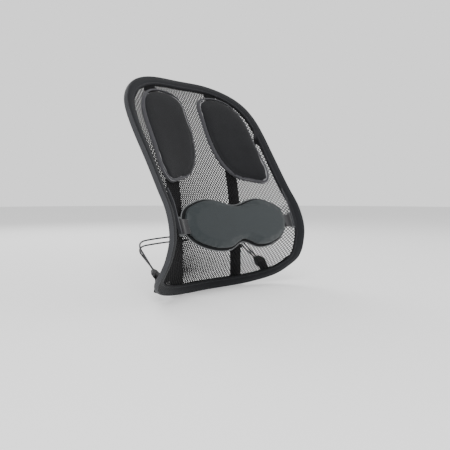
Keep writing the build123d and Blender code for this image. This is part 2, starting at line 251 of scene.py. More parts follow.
def smooth_line(points, count, closed=False):
    """Evenly spaced places and unit directions on a smooth curve through flat points.

    An open curve is level at both ends.
    """
    p = np.vstack([points, points[:1]]) if closed else np.array(points)
    t = np.concatenate([[0], np.cumsum(np.linalg.norm(np.diff(p, axis=0), axis=1))])
    h, n = np.diff(t), len(p)
    system, right = np.zeros((n, n)), np.zeros((n, 2))
    for i in range(1, n - 1):
        system[i, i - 1:i + 2] = h[i], 2 * (h[i - 1] + h[i]), h[i - 1]
        right[i] = 3 * (h[i] * (p[i] - p[i - 1]) / h[i - 1] + h[i - 1] * (p[i + 1] - p[i]) / h[i])
    if closed:
        system[0, [0, -1]] = 1, -1
        system[-1, [0, 1, -2]] = 2 * (h[-1] + h[0]), h[-1], h[0]
        right[-1] = 3 * (h[0] * (p[-1] - p[-2]) / h[-1] + h[-1] * (p[1] - p[0]) / h[0])
    else:
        system[0, 0] = system[-1, -1] = 1
        right[0], right[-1] = (1, 0), (-1, 0)
    slopes = np.linalg.solve(system, right)
    fine = np.linspace(0, t[-1], 3000)
    i = np.clip(np.searchsorted(t, fine, side="right") - 1, 0, n - 2)
    s = ((fine - t[i]) / h[i])[:, None]
    m0, m1 = slopes[i] * h[i][:, None], slopes[i + 1] * h[i][:, None]
    places = (p[i] * (2 * s ** 3 - 3 * s ** 2 + 1) + m0 * (s ** 3 - 2 * s ** 2 + s)
              + p[i + 1] * (3 * s ** 2 - 2 * s ** 3) + m1 * (s ** 3 - s ** 2))
    run = np.concatenate([[0], np.cumsum(np.linalg.norm(np.diff(places, axis=0), axis=1))])
    wanted = np.linspace(0, run[-1], count + 1)[:count + (not closed)]
    spaced = np.stack([np.interp(wanted, run, places[:, k]) for k in (0, 1)], -1)
    ways = np.stack([np.interp(wanted, run, np.gradient(places[:, k], run)) for k in (0, 1)], -1)
    return spaced, ways / np.linalg.norm(ways, axis=1)[:, None]


def edge_frames(places, ways, lift, reach):
    """Along an outline: its places in space, the direction inwards and the one out of the back."""
    inner = places + np.stack([ways[:, 1], -ways[:, 0]], -1) * reach
    ahead, behind = places + ways * mm, places - ways * mm
    origin = lift(places[:, 0], places[:, 1])
    inward = lift(inner[:, 0], inner[:, 1]) - origin
    inward /= np.linalg.norm(inward, axis=1)[:, None]
    along = lift(ahead[:, 0], ahead[:, 1]) - lift(behind[:, 0], behind[:, 1])
    back = np.cross(along, inward)
    return origin, inward, back / np.linalg.norm(back, axis=1)[:, None]


def both_halves(frames):
    """The right half of a symmetric outline's frames, followed by its left half, once round."""
    flip = np.array([-1, 1, 1])
    return [np.vstack([part, (part * flip)[-2:0:-1]]) for part in frames]


def show(name, mesh, *materials):
    """A new object for a mesh or a finished bmesh, at the origin."""
    if isinstance(mesh, bmesh.types.BMesh):
        data = bpy.data.meshes.new(name)
        mesh.to_mesh(data)
        mesh.free()
        mesh = data
    mesh.name = name
    for material in materials:
        mesh.materials.append(material)
    made = bpy.data.objects.new(name, mesh)
    bpy.context.scene.collection.objects.link(made)
    return made


def sweep(name, frames, profile, material, closed=True):
    """A strip with a flat profile, or one profile for each place, carried along a line of places.

    Its UV map is in metres: along the strip, then round the profile.
    """
    places, sides, backs = frames
    profiles = np.broadcast_to(profile, (len(places), *np.shape(profile)[-2:]))
    mesh = bmesh.new()
    uv = mesh.loops.layers.uv.new("UVMap")
    rows = [[mesh.verts.new(o + a * u + b * v) for u, v in flat]
            for o, a, b, flat in zip(places, sides, backs, profiles)]
    count, points = len(rows), profiles.shape[1]
    along = np.concatenate([[0], np.cumsum(np.linalg.norm(
        np.diff(np.vstack([places, places[:1]]), axis=0), axis=1))])
    first = profiles[0]
    around = np.concatenate([[0], np.cumsum(np.linalg.norm(
        np.diff(np.vstack([first, first[:1]]), axis=0), axis=1))])
    for i in range(count if closed else count - 1):
        for j in range(points):
            corners = ((i, j), (i + 1, j), (i + 1, j + 1), (i, j + 1))
            face = mesh.faces.new([rows[a % count][b % points] for a, b in corners])
            face.smooth = True
            for loop, (a, b) in zip(face.loops, corners):
                loop[uv].uv = (along[a], around[b])
    if not closed:
        mesh.faces.new(rows[0])
        mesh.faces.new(rows[-1])
    bmesh.ops.recalc_face_normals(mesh, faces=mesh.faces)
    return show(name, mesh, material)


def stitch_tree():
    """Geometry nodes that lay one stitch after another along every edge line of a mesh."""
    tree = bpy.data.node_groups.new("stitch row", "GeometryNodeTree")
    sockets = {}
    tree.interface.new_socket("Geometry", in_out="OUTPUT", socket_type="NodeSocketGeometry")
    for label, kind in (("Geometry", "NodeSocketGeometry"), ("Pitch", "NodeSocketFloat"),
                        ("Stitch Length", "NodeSocketFloat"), ("Thread", "NodeSocketFloat"),
                        ("Material", "NodeSocketMaterial")):
        sockets[label] = tree.interface.new_socket(label, in_out="INPUT", socket_type=kind)
    given = tree.nodes.new("NodeGroupInput")
    result = tree.nodes.new("NodeGroupOutput")
    lines = add_node(tree, "GeometryNodeMeshToCurve", _0=given.outputs["Geometry"])
    dots = add_node(tree, "GeometryNodeCurveToPoints", {"mode": "LENGTH"},
                    Curve=lines.outputs[0], Length=given.outputs["Pitch"])
    stitch = add_node(tree, "GeometryNodeMeshUVSphere", Segments=6, Rings=4, Radius=0.5)
    turn = add_node(tree, "FunctionNodeAlignRotationToVector", {"axis": "X"},
                    Vector=dots.outputs["Tangent"])
    size = add_node(tree, "ShaderNodeCombineXYZ", X=given.outputs["Stitch Length"],
                    Y=given.outputs["Thread"], Z=given.outputs["Thread"])
    laid = add_node(tree, "GeometryNodeInstanceOnPoints", Points=dots.outputs["Points"],
                    Instance=stitch.outputs["Mesh"], Rotation=turn.outputs[0],
                    Scale=size.outputs[0])
    real = add_node(tree, "GeometryNodeRealizeInstances", Geometry=laid.outputs[0])
    smooth = add_node(tree, "GeometryNodeSetShadeSmooth", Geometry=real.outputs[0])
    painted = add_node(tree, "GeometryNodeSetMaterial", Geometry=smooth.outputs[0],
                       Material=given.outputs["Material"])
    tree.links.new(painted.outputs[0], result.inputs[0])
    return tree, {label: made.identifier for label, made in sockets.items()}


def run_tree(name, lines, tree, identifiers, material, **values):
    """The plain mesh that a geometry tree makes from lines of places, as a new object."""
    mesh = bpy.data.meshes.new(name + "_lines")
    places = np.vstack(lines)
    starts = np.cumsum([0] + [len(line) for line in lines])
    edges = [(i, i + 1) for a, b in zip(starts, starts[1:]) for i in range(a, b - 1)]
    mesh.from_pydata(places.tolist(), edges, [])
    source = bpy.data.objects.new(name + "_lines", mesh)
    bpy.context.scene.collection.objects.link(source)
    modifier = source.modifiers.new("tree", "NODES")
    modifier.node_group = tree
    modifier[identifiers["Material"]] = material
    for label, value in values.items():
        modifier[identifiers[label.replace("_", " ")]] = value
    plain = bpy.data.meshes.new_from_object(
        source.evaluated_get(bpy.context.evaluated_depsgraph_get()))
    bpy.data.objects.remove(source)
    return show(name, plain)


stitching, stitching_sockets = stitch_tree()


def stitch_rows(name, rows, material, body, pitch=3.6 * mm, length=2.9 * mm, thread=0.75 * mm):
    """Rows of stitches along lines of places, riding on a body."""
    made = run_tree(name, rows, stitching, stitching_sockets, material, Pitch=pitch,
                    Stitch_Length=length, Thread=thread)
    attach(made, body)


band_cloth = cloth_material("band fabric", (0.004, 0.0044, 0.0052), (0.016, 0.017, 0.02), 0.0011,
                            0.0003, 0.8, 0.06)
thread_black = cloth_material("black thread", (0.014, 0.014, 0.016), (0.07, 0.07, 0.08), 0.0004,
                              0.0001, 0.55, 0.2, turned=(0.6, 0.4, 0.8))
half_places, half_ways = smooth_line(outline, 150)
band_frames = both_halves(edge_frames(half_places, half_ways, on_panel, band_width))

# From the outer edge inwards: a sewn margin, the wadded middle over the hoop, and a sewn margin.
front_crown = mm * np.array([
    (2.3, -3.6), (2.6, -4.3), (4.0, -4.5), (5.0, -4.15), (6.0, -4.6), (9.0, -5.3), (13.0, -5.6),
    (17.0, -5.2), (19.5, -4.5), (20.5, -4.0), (21.5, -4.3), (24.0, -4.3), (25.0, -3.6),
    (25.2, -1.0), (24.0, -0.7), (3.0, -1.9), (2.3, -2.2)])
back_crown = front_crown * (1, -1)
for word, crown in (("front", front_crown), ("back", back_crown)):
    cover = sweep(f"band_{word}", band_frames, crown, band_cloth)
    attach(cover, "frame")
    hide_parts(f"band_{word}_cover")
rows = []
seam_rows = ((5.0, 4.25), (20.5, 4.1))   # in from the outer edge, and out from the middle surface
for way in (-1, 1):
    for inset, height in seam_rows:
        row = band_frames[0] + band_frames[1] * inset * mm + band_frames[2] * way * height * mm
        rows.append(np.vstack([row, row[:1]]))
stitch_rows("band_stitches", rows, thread_black, "frame")

# ---------------------------------------------------------------------------------------------------
# Edge binding: a folded woven tape, a little lighter than the band. It wraps the band's outer edge
# and closes its two covers together.
binding_tape = cloth_material("binding tape", (0.012, 0.0125, 0.014), (0.06, 0.062, 0.068), 0.0008,
                              0.0002, 0.7, 0.1)
binding_fold = mm * np.array([
    (0.4, -3.4), (0.0, -1.6), (0.0, 1.6), (0.4, 3.4), (1.2, 4.8), (2.2, 5.1), (3.2, 4.7), (3.3, 3.5),
    (2.4, 3.4), (2.4, -3.4), (3.3, -3.5), (3.2, -4.7), (2.2, -5.1), (1.2, -4.8)])
edge_tape = sweep("edge_tape", band_frames, binding_fold, binding_tape)
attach(edge_tape, "frame")
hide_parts("edge_binding")

# ---------------------------------------------------------------------------------------------------
# Sprung hoop and the two stays: flat spring steel with a blued finish. The hoop lies inside the
# band and each stay inside its sleeve, so none of them is in sight.
steel = bpy.data.materials.new("spring steel")
steel.use_nodes = True
steel_tree = steel.node_tree
steel_shader = steel_tree.nodes["Principled BSDF"]
steel_place = steel_tree.nodes.new("ShaderNodeTexCoord")
rolling = add_node(steel_tree, "ShaderNodeTexNoise", Vector=steel_place.outputs["Object"], Scale=160.0,
                   Detail=3.0)
blueing = add_node(steel_tree, "ShaderNodeValToRGB", Fac=rolling.outputs["Fac"])
blueing.color_ramp.elements[0].color = (0.05, 0.055, 0.07, 1)
blueing.color_ramp.elements[1].color = (0.16, 0.17, 0.2, 1)
steel_tree.links.new(blueing.outputs["Color"], steel_shader.inputs["Base Color"])
steel_shader.inputs["Metallic"].default_value = 1
steel_shader.inputs["Roughness"].default_value = 0.35
for name in ("frame_hoop", "stay_left", "stay_right"):
    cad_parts[name].data.materials.clear()
    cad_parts[name].data.materials.append(steel)

# ---------------------------------------------------------------------------------------------------
# Net: an open black net of two sets of flat strands that cross, stretched over the whole panel. Its
# hem lies between the band's two covers.
net_pitch = 5.8 * mm
net_width = 2.8 * mm
net_thickness = 0.6 * mm
net_reach = 14 * mm        # its hem, in from the band's outer edge
net_step = 8.8 * mm        # between the bends of a strand
net_lift = 0.2 * mm        # of each set of strands from the middle surface
net_shortest = 6 * mm


def inside(polygon, points):
    """Which flat points lie inside a closed polygon."""
    x, z = points[:, 0][:, None], points[:, 1][:, None]
    a, b = polygon, np.roll(polygon, -1, 0)
    crosses = (a[:, 1] > z) != (b[:, 1] > z)
    rise = np.where(b[:, 1] == a[:, 1], 1, b[:, 1] - a[:, 1])
    left = x < (b[:, 0] - a[:, 0]) * (z - a[:, 1]) / rise + a[:, 0]
    return (crosses & left).sum(1) % 2 == 1


def net_tree():
    """Geometry nodes that turn each line of a mesh into a strand with four sides."""
    tree = bpy.data.node_groups.new("net strands", "GeometryNodeTree")
    sockets = {}
    tree.interface.new_socket("Geometry", in_out="OUTPUT", socket_type="NodeSocketGeometry")
    for label, kind in (("Geometry", "NodeSocketGeometry"), ("Width", "NodeSocketFloat"),
                        ("Thickness", "NodeSocketFloat"), ("Material", "NodeSocketMaterial")):
        sockets[label] = tree.interface.new_socket(label, in_out="INPUT", socket_type=kind)
    given = tree.nodes.new("NodeGroupInput")
    result = tree.nodes.new("NodeGroupOutput")
    lines = add_node(tree, "GeometryNodeMeshToCurve", _0=given.outputs["Geometry"])
    facing = add_node(tree, "GeometryNodeSetCurveNormal", {"mode": "FREE"}, Curve=lines.outputs[0],
                      Normal=(0.0, 1.0, 0.0))
    ring = add_node(tree, "GeometryNodeCurvePrimitiveCircle", Resolution=4, Radius=0.5)
    size = add_node(tree, "ShaderNodeCombineXYZ", X=given.outputs["Thickness"],
                    Y=given.outputs["Width"])
    flat = add_node(tree, "GeometryNodeTransform", Geometry=ring.outputs[0], Scale=size.outputs[0])
    strands = add_node(tree, "GeometryNodeCurveToMesh", Curve=facing.outputs[0],
                       Profile_Curve=flat.outputs[0], Fill_Caps=True)
    real = add_node(tree, "GeometryNodeRealizeInstances", Geometry=strands.outputs[0])
    smooth = add_node(tree, "GeometryNodeSetShadeSmooth", Geometry=real.outputs[0])
    painted = add_node(tree, "GeometryNodeSetMaterial", Geometry=smooth.outputs[0],
                       Material=given.outputs["Material"])
    tree.links.new(painted.outputs[0], result.inputs[0])
    return tree, {label: made.identifier for label, made in sockets.items()}


net_yarn = cloth_material("net yarn", (0.002, 0.002, 0.0025), (0.008, 0.008, 0.009), 0.0006, 0.0001,
                          0.75, 0.01, turned=(0.5, 0.3, 0.2))
net_middle = np.array([0, 0.25])
run = np.arange(-0.5, 0.5, mm)
hem = half_places + np.stack([half_ways[:, 1], -half_ways[:, 0]], -1) * net_reach
hem = np.vstack([hem, (hem * (-1, 1))[-2:0:-1]])
strand_lines = []
for lean in (-1, 1):
    way = np.array([lean, 1]) / math.sqrt(2)
    across = np.array([1, -lean]) / math.sqrt(2)
    for shift in np.arange(-0.4, 0.4, net_pitch):
        start = net_middle + across * shift
        kept = inside(hem, start + run[:, None] * way)
        ends = np.flatnonzero(np.diff(np.concatenate([[0], kept, [0]])))
        for a, b in zip(ends[::2], ends[1::2]):
            if (b - a) * mm > net_shortest:
                steps = max(2, int(round((b - a) * mm / net_step)) + 1)
                flat = start + np.linspace(run[a], run[b - 1], steps)[:, None] * way
                strand_lines.append(on_panel(flat[:, 0], flat[:, 1]) + (0, lean * net_lift, 0))
strands, strand_sockets = net_tree()
net = run_tree("net", strand_lines, strands, strand_sockets, net_yarn, Width=net_width,
               Thickness=net_thickness)
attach(net, "frame")
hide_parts("mesh_panel")

# ---------------------------------------------------------------------------------------------------
# Seam loop: a short length of narrow tape folded double and caught in the band's inner seam, on one
# side only.
loop_tape = cloth_material("loop tape", (0.004, 0.004, 0.005), (0.022, 0.022, 0.025), 0.0009, 0.0002,
                           0.75, 0.06)


def strap(name, path, across, profile, material, closed=False):
    """A strap whose profile is (across, out of its face), carried along a path."""
    path = np.asarray(path, float)
    along = np.gradient(path, axis=0)
    backs = np.cross(along, across)
    backs /= np.linalg.norm(backs, axis=1)[:, None]
    return sweep(name, (path, np.broadcast_to(across, path.shape), backs), profile, material, closed)


def flat_profile(width, thickness, edge=0.5):
    """A woven tape's section: flat faces and rounded selvedges."""
    w, t = width / 2, thickness / 2
    inner = w - t * 2 * edge
    return np.array([(-inner, -t), (0, -t), (inner, -t), (w, -t * 0.45), (w, t * 0.45), (inner, t),
                     (0, t), (-inner, t), (-w, t * 0.45), (-w, -t * 0.45)])


def rounded(path, passes=2):
    """A path with its corners cut again and again until they are round."""
    path = np.asarray(path, float)
    for _ in range(passes):
        near, far = path[:-1] * 0.75 + path[1:] * 0.25, path[:-1] * 0.25 + path[1:] * 0.75
        path = np.vstack([path[:1], np.stack([near, far], 1).reshape(-1, path.shape[1]), path[-1:]])
    return path


loop_x, loop_z, loop_height, loop_reach = 188 * mm, 382 * mm, 38 * mm, 7.2 * mm
fold = rounded([(loop_reach, -1.7), (-loop_reach + mm, -1.8), (-loop_reach, -1.2),
                (-loop_reach + mm, -0.9), (loop_reach, -0.95)] * np.array([1, mm]))
loop_path = on_panel(loop_x + fold[:, 0], np.full(len(fold), loop_z))
loop_path[:, 1] += fold[:, 1]
seam_tab = strap("seam_tab", loop_path, np.array([0.0, 0.0, 1.0]),
                 flat_profile(loop_height, 0.5 * mm), loop_tape)
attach(seam_tab, "frame")
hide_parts("seam_loop")

# ---------------------------------------------------------------------------------------------------
# Upper pads: a pair of wings in soft brushed black fabric over foam, closed with a grey binding tape.
# The covers are blown up a little from their flat cut, so that they crown between the bound edges.
upper_outline = mm * np.array([
    (92, 475), (58, 472), (34, 460), (26, 420), (25.5, 375), (33, 333), (52, 296), (85, 271),
    (125, 262), (161, 262), (173, 283), (170.5, 330), (168, 380), (160, 430), (135, 462)])


def outer_shell(node, shrink):
    """A copy of a CAD cover's outer skin, drawn in by a distance."""
    mesh = bmesh.new()
    mesh.from_mesh(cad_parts[node].data)
    bmesh.ops.remove_doubles(mesh, verts=mesh.verts, dist=1e-5)
    left, shells = set(mesh.verts), []
    while left:
        seed = left.pop()
        shell, todo = {seed}, [seed]
        while todo:
            for edge in todo.pop().link_edges:
                for vert in edge.verts:
                    if vert not in shell:
                        shell.add(vert)
                        todo.append(vert)
        left -= shell
        shells.append(shell)
    widest = max(shells, key=lambda s: max(v.co.x for v in s) - min(v.co.x for v in s))
    bmesh.ops.delete(mesh, geom=[v for s in shells if s is not widest for v in s], context="VERTS")
    bmesh.ops.recalc_face_normals(mesh, faces=mesh.faces)
    mesh.normal_update()
    for vert, place in [(v, v.co - v.normal * shrink) for v in mesh.verts]:
        vert.co = place
    return mesh


def swollen(name, node, material, shrink, voxel, pressure, cap, pull, faces, keep_clear):
    """A padded cover: its skin is remeshed, blown up as cloth and held within `cap` of its cut.

    `faces` is the way it faces, and `pull` how far its bound outline may draw in.
    """
    pad = show(name, outer_shell(node, shrink), material)
    remesh = pad.modifiers.new("even", "REMESH")
    remesh.mode = "VOXEL"
    remesh.voxel_size = voxel
    even = bpy.data.meshes.new_from_object(
        pad.evaluated_get(bpy.context.evaluated_depsgraph_get()))
    pad.modifiers.clear()
    pad.data = even
    cut = np.array([v.co for v in even.vertices])
    found = cut
    cloth = pad.modifiers.new("cloth", "CLOTH")
    cloth.settings.use_pressure = True
    cloth.settings.uniform_pressure_force = pressure
    cloth.settings.effector_weights.gravity = 0
    cloth.point_cache.frame_start, cloth.point_cache.frame_end = 1, 20
    for step in range(1, 21):
        bpy.context.scene.frame_set(step)
    blown = pad.evaluated_get(bpy.context.evaluated_depsgraph_get())
    found = np.array([v.co for v in blown.data.vertices])
    pad.modifiers.clear()
    bpy.context.scene.frame_set(1)
    moved = found - cut
    across = moved - (moved @ faces)[:, None] * faces
    slack = np.maximum(np.linalg.norm(across, axis=1), 1e-9)[:, None]
    moved -= across * (1 - np.minimum(1, pull / slack))
    far = np.maximum(np.linalg.norm(moved, axis=1), 1e-9)[:, None]
    placed = keep_clear(cut + moved * np.minimum(1, cap / far))
    even.vertices.foreach_set("co", placed.astype(np.float32).ravel())
    even.materials.clear()
    even.materials.append(material)
    even.shade_smooth()
    finer = pad.modifiers.new("finer", "SUBSURF")
    finer.levels = finer.render_levels = 1
    return pad


def crowned(places):
    """Keeps a pad's back just in front of the net, and its front low at the bound edge.

    A sewn channel runs a little way in from the edge along the pad's lower inner side.
    """
    flat = np.stack([np.abs(places[:, 0]), places[:, 2]], -1)
    edge = np.min(np.linalg.norm(flat[:, None] - pad_places[None], axis=2), axis=1)
    middle = on_panel(places[:, 0], places[:, 2])[:, 1]
    crown = pad_edge_height + pad_crown * (1 - np.exp(-edge / pad_round))
    low_side = np.clip((channel_top - flat[:, 0] * channel_lean - flat[:, 1]) / channel_fade, 0, 1)
    crown -= channel_depth * low_side * np.exp(-((edge - channel_inset) / channel_width) ** 2)
    places[:, 1] = np.clip(places[:, 1], middle - crown, middle - pad_gap)
    return places


pad_edge_height = 8.6 * mm
pad_crown = 7.5 * mm
pad_round = 12 * mm
pad_gap = 1.2 * mm         # between its back and the net's middle surface
channel_inset = 12 * mm
channel_depth = 1.4 * mm
channel_width = 2.5 * mm
channel_top = 430 * mm     # it fades out over channel_fade below this line, which leans outwards
channel_fade = 40 * mm
channel_lean = 0.6
pad_draw_in = 0.8 * mm     # how much smaller than its cut a cover starts
pad_voxel = 4 * mm
pad_pressure = 4
pad_swell = 6 * mm
pad_pull = 0.8 * mm
brushed = cloth_material("brushed fabric", (0.003, 0.003, 0.0036), (0.014, 0.0145, 0.0165), 0.0013,
                         0.0004, 0.95, 0.08, patches=0.5, turned=(math.pi / 2, 0, 0))
grey_tape = cloth_material("grey binding tape", (0.022, 0.022, 0.025), (0.07, 0.07, 0.078), 0.0009,
                           0.0003, 0.8, 0.12)
pad_places, pad_ways = smooth_line(upper_outline, 200, closed=True)
pad_ways = -pad_ways
tape_profile = mm * np.array([
    (-1.7, -1.8), (-2.5, -3.0), (-2.6, -5.4), (-2.0, -7.2), (-0.6, -8.6), (1.4, -9.5), (3.0, -9.9),
    (3.9, -9.5), (3.2, -8.8), (1.2, -7.8), (0.4, -5.0), (0.4, -2.2), (-0.2, -1.4), (-1.0, -1.3)])
tape_seam = (2.6 * mm, 9.9 * mm)   # in from the pad's outline, and out in front of the net
for side, word in ((-1, "left"), (1, "right")):
    upper_pad = swollen(f"upper_pad_{word}", f"upper_pad_cover_{word}", brushed, pad_draw_in,
                        pad_voxel, pad_pressure, pad_swell, pad_pull, np.array([0, -1, 0]), crowned)
    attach(upper_pad, "frame")
    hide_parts(f"upper_pad_cover_{word}")
    places, inward, back = edge_frames(pad_places, pad_ways, on_panel, 4 * mm)
    flip = np.array([side, 1, 1])
    tape_frames = (places * flip, inward * flip, back * flip)
    tape = sweep(f"upper_pad_tape_{word}", tape_frames, tape_profile, grey_tape)
    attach(tape, "frame")
    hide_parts(f"upper_pad_binding_{word}")
    row = tape_frames[0] + tape_frames[1] * tape_seam[0] - tape_frames[2] * tape_seam[1]
    stitch_rows(f"upper_pad_stitches_{word}", [np.vstack([row, row[:1]])], thread_black, "frame",
                pitch=3.2 * mm, length=2.5 * mm, thread=0.6 * mm)

# ---------------------------------------------------------------------------------------------------
# Stay sleeves: black fabric channels that hold the two stays against the backrest. Each is sewn down
# both sides, and its ends are turned over and sewn to the band.
stay_x = 98 * mm
sleeve_width = 37 * mm
sleeve_thickness = 6 * mm
sleeve_margin = 2.6 * mm   # the sewn margin's thickness
sleeve_seam = 13.5 * mm    # its two rows of stitches, out from the middle
thinnest = 1.2 * mm
net_to_sleeve = 7.1 * mm
knee_z, sleeve_top_z, stay_rise = 128 * mm, 500 * mm, 104 * mm
stay_span = sleeve_top_z - knee_z
stay_radius = (stay_rise ** 2 + stay_span ** 2) / (2 * stay_rise)
stay_angle = math.asin(stay_span / stay_radius)
sleeve_cloth = cloth_material("sleeve fabric", (0.004, 0.004, 0.0046), (0.016, 0.0165, 0.018), 0.0011,
                              0.0003, 0.85, 0.06)
leg = np.linspace(3 * mm, knee_z, 24)
turns = np.linspace(0, stay_angle, 50)[1:]
sleeve_y = np.concatenate([np.zeros(24), (stay_radius - sleeve_thickness)
                           - (stay_radius - sleeve_thickness) * np.cos(turns)])
sleeve_z = np.concatenate([leg, knee_z + (stay_radius - sleeve_thickness) * np.sin(turns)])
for side, word in ((-1, "left"), (1, "right")):
    path = np.stack([np.full(len(leg) + len(turns), side * stay_x), sleeve_y, sleeve_z], -1)
    nearest = on_panel(path[:, 0] - side * sleeve_width / 2, path[:, 2])[:, 1] + net_to_sleeve
    front = np.clip(nearest - path[:, 1], -sleeve_thickness, -thinnest)
    profiles = []
    for depth in front:
        margin = max(depth, -sleeve_margin)
        profiles.append([(-18.5 * mm, margin * 0.8), (-17.5 * mm, margin), (-11 * mm, margin),
                         (-9 * mm, (depth + margin) / 2), (-7 * mm, depth), (0, depth),
                         (7 * mm, depth), (9 * mm, (depth + margin) / 2), (11 * mm, margin),
                         (17.5 * mm, margin), (18.5 * mm, margin * 0.8), (18.5 * mm, -0.3 * mm),
                         (17.5 * mm, 0), (0, 0), (-17.5 * mm, 0), (-18.5 * mm, -0.3 * mm)])
    sides = np.broadcast_to(np.array([1.0, 0, 0]), path.shape)
    along = np.gradient(path, axis=0)
    backs = np.cross(sides, along) * -1
    backs /= np.linalg.norm(backs, axis=1)[:, None]
    sleeve = sweep(f"sleeve_{word}", (path, sides, backs), profiles, sleeve_cloth, closed=False)
    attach(sleeve, "frame")
    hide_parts(f"stay_sleeve_{word}")
    rows = [path + sides * shift + backs * 0.1 * mm for shift in (-sleeve_seam, sleeve_seam)]
    stitch_rows(f"sleeve_stitches_{word}", rows, thread_black, "frame")

# ---------------------------------------------------------------------------------------------------
# Lumbar pad: a bean-shaped foam cushion in a smooth grey-green fabric, sewn on a flat back panel whose
# edge carries a thin light-grey piping.
lumbar_outline = mm * np.array([
    (0, 45), (38, 53), (80, 60.5), (125, 52), (156, 35), (167, 2), (155, -29), (122, -50),
    (76, -61.5), (34, -58), (0, -46)])
cushion_back = -11.9 * mm
lean = math.radians(20.6)
pad_centre = mm * np.array([0, -115.1, 170.3])
pad_up = np.array([0, math.sin(lean), math.cos(lean)])
pad_out = np.array([0, -math.cos(lean), math.sin(lean)])


def on_pad(x, v, out=0.0):
    """Places on the lumbar pad's front plane, or in front of it."""
    x, v = np.asarray(x, float)[..., None], np.asarray(v, float)[..., None]
    return pad_centre + x * np.array([1, 0, 0]) + v * pad_up + out * pad_out


def clear_of_base(places):
    """Keeps the cushion in front of its back panel."""
    out = (places - pad_centre) @ pad_out
    return places + np.maximum(cushion_back - out, 0)[:, None] * pad_out


smooth_cloth = cloth_material("smooth pad fabric", (0.017, 0.021, 0.0225), (0.034, 0.042, 0.045),
                              0.0007, 0.0001, 0.48, 0.08, patches=0.2,
                              turned=(math.pi / 2 + lean, 0, 0))
piping_cord = cloth_material("light grey piping", (0.07, 0.073, 0.076), (0.19, 0.195, 0.2), 0.0006,
                             0.0002, 0.6, 0.1)
lumbar_frames = both_halves(edge_frames(*smooth_line(lumbar_outline, 110), on_pad, 3 * mm))


def board(name, frames, rim, material):
    """A flat panel with a shaped rim: `rim` runs from its back face to its front face."""
    mesh = bmesh.new()
    loops = [[mesh.verts.new(p) for p in frames[0] + frames[1] * u + frames[2] * v] for u, v in rim]
    for low, high in zip(loops, loops[1:]):
        for i in range(len(low)):
            j = (i + 1) % len(low)
            mesh.faces.new((low[i], low[j], high[j], high[i])).smooth = True
    caps = [mesh.faces.new(loops[0]), mesh.faces.new(loops[-1])]
    bmesh.ops.recalc_face_normals(mesh, faces=mesh.faces)
    bmesh.ops.triangulate(mesh, faces=caps)
    return show(name, mesh, material)


# The back panel wears a darker copy of the pad's grey-green fabric: painted shade for the dark groove
# between the piping and the cushion.
painted_shade_cloth = cloth_material("back panel painted shade", (0.004, 0.0045, 0.005), (0.014, 0.016, 0.017), 0.0009,
                              0.0002, 0.8, 0.05, turned=(math.pi / 2 + lean, 0, 0))
lumbar_back = board("lumbar_back", lumbar_frames, mm * np.array([
    (4.2, 16), (3.2, 15.8), (2.8, 15.2), (2.8, 12.8), (3.2, 12.3), (4.2, 12.1)]), painted_shade_cloth)
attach(lumbar_back, "lumbar_pad")
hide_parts("lumbar_base")

piping_middle = mm * np.array([1.3, 13.3])
piping_radii = mm * np.array([1.35, 1.3])
turns = np.linspace(0, 2 * math.pi, 11)[:10]
piping_ring = piping_middle + piping_radii * np.stack([np.cos(turns), np.sin(turns)], -1)
piping = sweep("piping", lumbar_frames, piping_ring, piping_cord)
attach(piping, "lumbar_pad")
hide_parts("lumbar_piping")

cushion = swollen("lumbar_cushion", "lumbar_cover", smooth_cloth, pad_draw_in, pad_voxel,
                  pad_pressure, pad_swell, pad_pull, pad_out, clear_of_base)
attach(cushion, "lumbar_pad")
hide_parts("lumbar_cover")

# ---------------------------------------------------------------------------------------------------
# Foam cores inside the three pads: open-cell foam cut to each cover's shape. They are seen only if
# a cover is opened.
foam = bpy.data.materials.new("foam")
foam.use_nodes = True
foam_tree = foam.node_tree
foam_place = foam_tree.nodes.new("ShaderNodeTexCoord")
cells = add_node(foam_tree, "ShaderNodeTexVoronoi", Vector=foam_place.outputs["Object"], Scale=900.0)
foam_tone = add_node(foam_tree, "ShaderNodeValToRGB", Fac=cells.outputs["Distance"])
foam_tone.color_ramp.elements[0].color = (0.12, 0.12, 0.125, 1)
foam_tone.color_ramp.elements[1].color = (0.3, 0.3, 0.31, 1)
foam_tree.links.new(foam_tone.outputs["Color"],
                    foam_tree.nodes["Principled BSDF"].inputs["Base Color"])
foam_tree.nodes["Principled BSDF"].inputs["Roughness"].default_value = 0.95
for name in ("upper_pad_foam_left", "upper_pad_foam_right", "lumbar_foam"):
    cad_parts[name].data.materials.clear()
    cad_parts[name].data.materials.append(foam)

# ---------------------------------------------------------------------------------------------------
# Slider clips: moulded nylon frames, one at each end of the lumbar pad. Each has two upright slots,
# the inner one for the pad's tab and the outer one for the band's wing.


def grain_group():
    """The fine spark-eroded grain of moulded plastic, with handling marks."""
    group, given, result = new_group(
        "moulded grain", [("Vector", "NodeSocketVector", None), ("Colour", "NodeSocketColor", None),
                          ("Worn", "NodeSocketColor", None)],
        [("Colour", "NodeSocketColor"), ("Roughness", "NodeSocketFloat"),
         ("Height", "NodeSocketFloat")])
    fine = add_node(group, "ShaderNodeTexNoise", Vector=given.outputs["Vector"], Scale=2600.0,
                    Detail=2.0)
    marks = add_node(group, "ShaderNodeTexNoise", Vector=given.outputs["Vector"], Scale=70.0,
                     Detail=5.0)
    tone = add_node(group, "ShaderNodeMix", {"data_type": "RGBA"}, Factor=marks.outputs["Fac"])
    group.links.new(given.outputs["Colour"], tone.inputs[6])
    group.links.new(given.outputs["Worn"], tone.inputs[7])
    group.links.new(tone.outputs[2], result.inputs["Colour"])
    group.links.new(math_node(group, "MULTIPLY_ADD", marks.outputs["Fac"], 0.3, 0.28),
                    result.inputs["Roughness"])
    group.links.new(fine.outputs["Fac"], result.inputs["Height"])
    return group


grain = grain_group()


